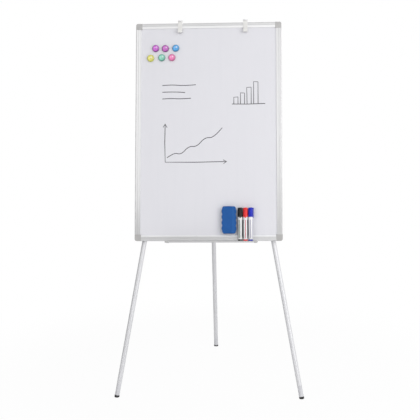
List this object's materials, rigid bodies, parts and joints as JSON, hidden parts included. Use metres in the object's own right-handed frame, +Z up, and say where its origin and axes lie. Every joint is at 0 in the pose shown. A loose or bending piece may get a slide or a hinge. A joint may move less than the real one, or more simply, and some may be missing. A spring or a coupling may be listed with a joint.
{
  "type": "whiteboard easel",
  "caption": "Tripod whiteboard easel: framed magnetic board with pen tray, sliding pad hooks, folding telescoping legs, pens, eraser and magnets.",
  "frame": {"origin": "on the floor, under the middle of the box round the standing easel", "axes": "+Z up, the writing side faces -Y and leans back, +X to the reader's right"},
  "size_m": [0.7652, 0.6897, 1.5135],
  "materials": {
    "writing_white": "gloss lacquer",
    "core_board": "raw board",
    "galvanised": "galvanised",
    "rail_aluminium": "satin anodised",
    "corner_grey": "moulded",
    "tray_aluminium": "satin anodised",
    "bracket_paint": "powder coat",
    "pin_steel": "bright zinc",
    "nylon": "natural nylon",
    "leg_paint": "powder coat",
    "leg_plastic": "moulded",
    "collar_plastic": "moulded",
    "lever_plastic": "moulded",
    "foot_rubber": "moulded",
    "hook_ivory": "moulded",
    "knob_grey": "moulded",
    "eraser_blue": "closed foam",
    "eraser_felt": "felt",
    "pen_white": "moulded",
    "ink_black": "moulded",
    "ink_red": "moulded",
    "ink_blue": "moulded",
    "magnet_purple": "moulded",
    "magnet_blue": "moulded",
    "magnet_yellow": "moulded",
    "magnet_mint": "moulded",
    "magnet_pink": "moulded"
  },
  "bodies": {
    "board": {"writing_surface": "writing_white", "board_core": "core_board", "back_sheet": "galvanised", "frame_top": "rail_aluminium", "frame_bottom": "rail_aluminium", "frame_left": "rail_aluminium", "frame_right": "rail_aluminium", "corner_caps": "corner_grey", "pen_tray": "tray_aluminium", "tray_ends": "corner_grey", "head_bracket": "bracket_paint", "rear_clevis": "bracket_paint", "pivot_pins": "pin_steel", "leg_rests": "collar_plastic"},
    "leg_left": {"knuckle_left": "leg_plastic", "upper_tube_left": "leg_paint", "lock_collar_left": "collar_plastic"},
    "lower_leg_left": {"guide_bush_left": "nylon", "lower_tube_left": "leg_paint", "foot_plug_left": "leg_plastic", "rubber_foot_left": "foot_rubber"},
    "lever_left": {"lock_lever_left": "lever_plastic"},
    "leg_right": {"knuckle_right": "leg_plastic", "upper_tube_right": "leg_paint", "lock_collar_right": "collar_plastic"},
    "lower_leg_right": {"guide_bush_right": "nylon", "lower_tube_right": "leg_paint", "foot_plug_right": "leg_plastic", "rubber_foot_right": "foot_rubber"},
    "lever_right": {"lock_lever_right": "lever_plastic"},
    "leg_rear": {"knuckle_rear": "leg_plastic", "upper_tube_rear": "leg_paint", "lock_collar_rear": "collar_plastic"},
    "lower_leg_rear": {"guide_bush_rear": "nylon", "lower_tube_rear": "leg_paint", "foot_plug_rear": "leg_plastic", "rubber_foot_rear": "foot_rubber"},
    "lever_rear": {"lock_lever_rear": "lever_plastic"},
    "hook_left": {"hook_left": "hook_ivory"},
    "knob_left": {"hook_knob_left": "knob_grey"},
    "hook_right": {"hook_right": "hook_ivory"},
    "knob_right": {"hook_knob_right": "knob_grey"},
    "eraser": {"eraser_felt": "eraser_felt", "eraser_foam": "eraser_blue"},
    "pen_black": {"pen_plug_black": "ink_black", "pen_barrel_black": "pen_white"},
    "cap_black": {"pen_cap_black": "ink_black"},
    "pen_red": {"pen_plug_red": "ink_red", "pen_barrel_red": "pen_white"},
    "cap_red": {"pen_cap_red": "ink_red"},
    "pen_blue": {"pen_plug_blue": "ink_blue", "pen_barrel_blue": "pen_white"},
    "cap_blue": {"pen_cap_blue": "ink_blue"},
    "magnet_purple": {"magnet_purple": "magnet_purple"},
    "magnet_violet": {"magnet_violet": "magnet_purple"},
    "magnet_blue": {"magnet_blue": "magnet_blue"},
    "magnet_yellow": {"magnet_yellow": "magnet_yellow"},
    "magnet_mint": {"magnet_mint": "magnet_mint"},
    "magnet_pink": {"magnet_pink": "magnet_pink"}
  },
  "joints": [
    {"name": "fold_left", "type": "hinge", "parent": "board", "child": "leg_left", "pos_m": [-0.12, -0.02022, 1.42013], "axis": [0, -0.9763, 0.2164], "range_deg": [0, 9.86]},
    {"name": "height_left", "type": "slide", "parent": "leg_left", "child": "lower_leg_left", "axis": [0.1711, 0.2132, 0.9619], "range_m": [0, 0.55]},
    {"name": "lock_left", "type": "hinge", "parent": "leg_left", "child": "lever_left", "pos_m": [-0.26792, -0.16401, 0.67315], "axis": [-0.1711, -0.2132, -0.9619], "range_deg": [0, 105]},
    {"name": "fold_right", "type": "hinge", "parent": "board", "child": "leg_right", "pos_m": [0.12, -0.02022, 1.42013], "axis": [0, 0.9763, -0.2164], "range_deg": [0, 9.86]},
    {"name": "height_right", "type": "slide", "parent": "leg_right", "child": "lower_leg_right", "axis": [-0.1711, 0.2132, 0.9619], "range_m": [0, 0.55]},
    {"name": "lock_right", "type": "hinge", "parent": "leg_right", "child": "lever_right", "pos_m": [0.26792, -0.16401, 0.67315], "axis": [-0.1711, 0.2132, 0.9619], "range_deg": [0, 105]},
    {"name": "fold_rear", "type": "hinge", "parent": "board", "child": "leg_rear", "pos_m": [0, 0.01278, 1.41281], "axis": [-1, 0, 0], "range_deg": [0, 25.35]},
    {"name": "height_rear", "type": "slide", "parent": "leg_rear", "child": "lower_leg_rear", "axis": [0, -0.2224, 0.975], "range_m": [0, 0.55]},
    {"name": "lock_rear", "type": "hinge", "parent": "leg_rear", "child": "lever_rear", "pos_m": [-0.0156, 0.20579, 0.66246], "axis": [0, 0.2224, -0.975], "range_deg": [0, 105]},
    {"name": "slide_hook_left", "type": "slide", "parent": "board", "child": "hook_left", "axis": [1, 0, 0], "range_m": [-0.13, 0.1]},
    {"name": "turn_knob_left", "type": "hinge", "parent": "hook_left", "child": "knob_left", "pos_m": [-0.117, -0.02722, 1.4985], "axis": [0, 0.2164, 0.9763], "continuous": true},
    {"name": "slide_hook_right", "type": "slide", "parent": "board", "child": "hook_right", "axis": [1, 0, 0], "range_m": [-0.12, 0.1]},
    {"name": "turn_knob_right", "type": "hinge", "parent": "hook_right", "child": "knob_right", "pos_m": [0.152, -0.02722, 1.4985], "axis": [0, 0.2164, 0.9763], "continuous": true},
    {"name": "pull_eraser", "type": "slide", "parent": "board", "child": "eraser", "axis": [0, -0.9763, 0.2164], "range_m": [0, 0.08]},
    {"name": "lift_pen_black", "type": "slide", "parent": "board", "child": "pen_black", "axis": [0, 0.2164, 0.9763], "range_m": [0, 0.12]},
    {"name": "pull_cap_black", "type": "slide", "parent": "pen_black", "child": "cap_black", "axis": [0, 0.2164, 0.9763], "range_m": [0, 0.05]},
    {"name": "lift_pen_red", "type": "slide", "parent": "board", "child": "pen_red", "axis": [0, 0.2164, 0.9763], "range_m": [0, 0.12]},
    {"name": "pull_cap_red", "type": "slide", "parent": "pen_red", "child": "cap_red", "axis": [0, 0.2164, 0.9763], "range_m": [0, 0.05]},
    {"name": "lift_pen_blue", "type": "slide", "parent": "board", "child": "pen_blue", "axis": [0, 0.2164, 0.9763], "range_m": [0, 0.12]},
    {"name": "pull_cap_blue", "type": "slide", "parent": "pen_blue", "child": "cap_blue", "axis": [0, 0.2164, 0.9763], "range_m": [0, 0.05]},
    {"name": "pull_magnet_purple", "type": "slide", "parent": "board", "child": "magnet_purple", "axis": [0, -0.9763, 0.2164], "range_m": [0, 0.05]},
    {"name": "pull_magnet_violet", "type": "slide", "parent": "board", "child": "magnet_violet", "axis": [0, -0.9763, 0.2164], "range_m": [0, 0.05]},
    {"name": "pull_magnet_blue", "type": "slide", "parent": "board", "child": "magnet_blue", "axis": [0, -0.9763, 0.2164], "range_m": [0, 0.05]},
    {"name": "pull_magnet_yellow", "type": "slide", "parent": "board", "child": "magnet_yellow", "axis": [0, -0.9763, 0.2164], "range_m": [0, 0.05]},
    {"name": "pull_magnet_mint", "type": "slide", "parent": "board", "child": "magnet_mint", "axis": [0, -0.9763, 0.2164], "range_m": [0, 0.05]},
    {"name": "pull_magnet_pink", "type": "slide", "parent": "board", "child": "magnet_pink", "axis": [0, -0.9763, 0.2164], "range_m": [0, 0.05]}
  ]
}
